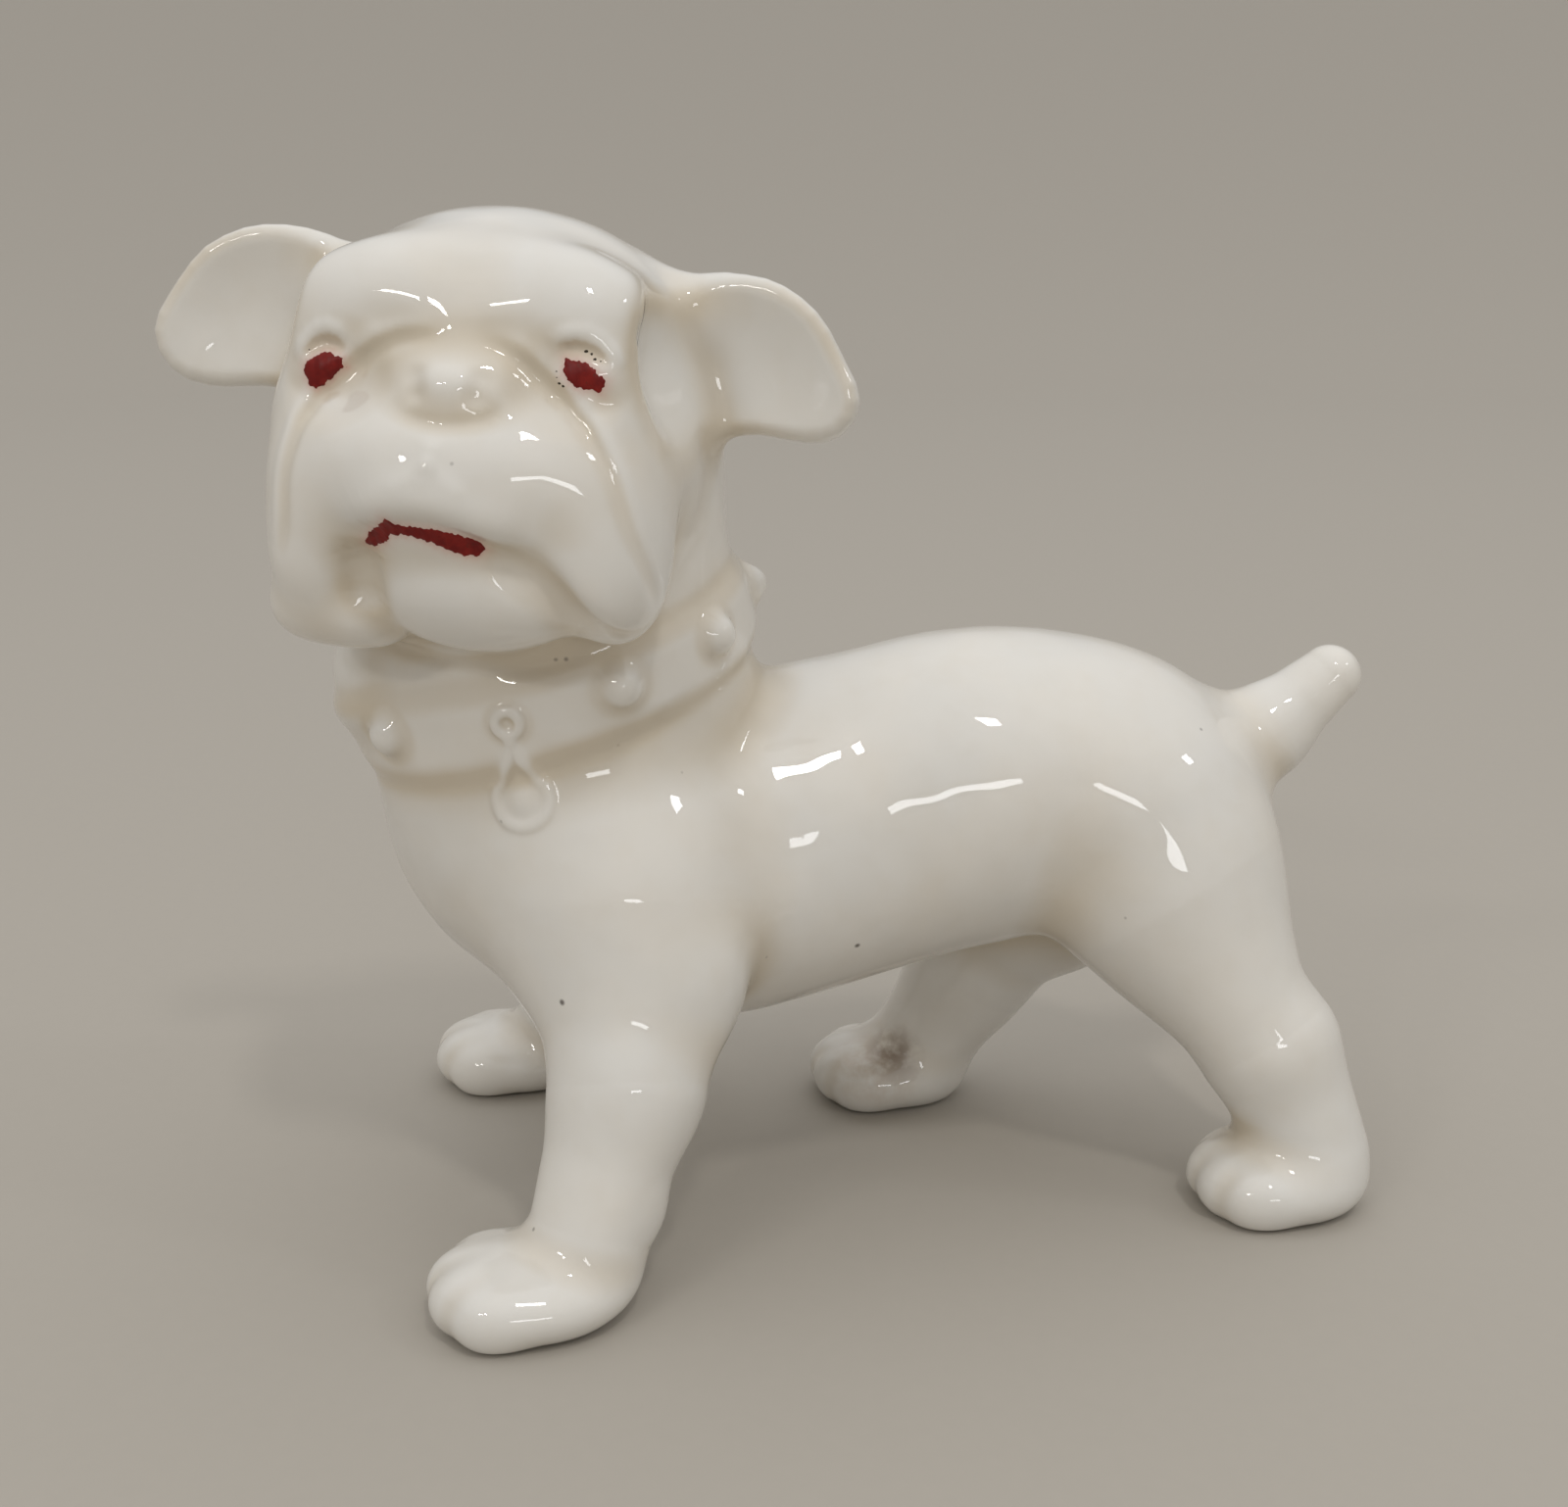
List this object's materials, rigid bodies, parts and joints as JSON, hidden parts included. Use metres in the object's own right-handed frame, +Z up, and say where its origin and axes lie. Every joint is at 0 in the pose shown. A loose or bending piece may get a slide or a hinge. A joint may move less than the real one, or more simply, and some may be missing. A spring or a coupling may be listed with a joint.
{
  "type": "dog figurine",
  "caption": "Small standing bulldog figurine in white glazed porcelain, head turned, with a studded collar, a hanging tag and red painted eyes and mouth.",
  "frame": {"origin": "middle of the footprint, on the surface that the figurine stands on", "axes": "+Z up, -Y the way the torso faces, +X the dog's left side"},
  "size_m": [0.0548, 0.0904, 0.0766],
  "materials": {
    "glaze": "glossy",
    "red_paint": "satin"
  },
  "bodies": {
    "root": {"torso": "glaze", "neck": "glaze", "head": "glaze", "left_ear": "glaze", "right_ear": "glaze", "front_left_leg": "glaze", "front_right_leg": "glaze", "hind_left_leg": "glaze", "hind_right_leg": "glaze", "tail": "glaze", "collar": "glaze", "collar_studs": "glaze", "tag_ring": "glaze", "tag": "glaze", "left_eye_paint": "red_paint", "right_eye_paint": "red_paint", "mouth_paint": "red_paint"}
  },
  "joints": []
}
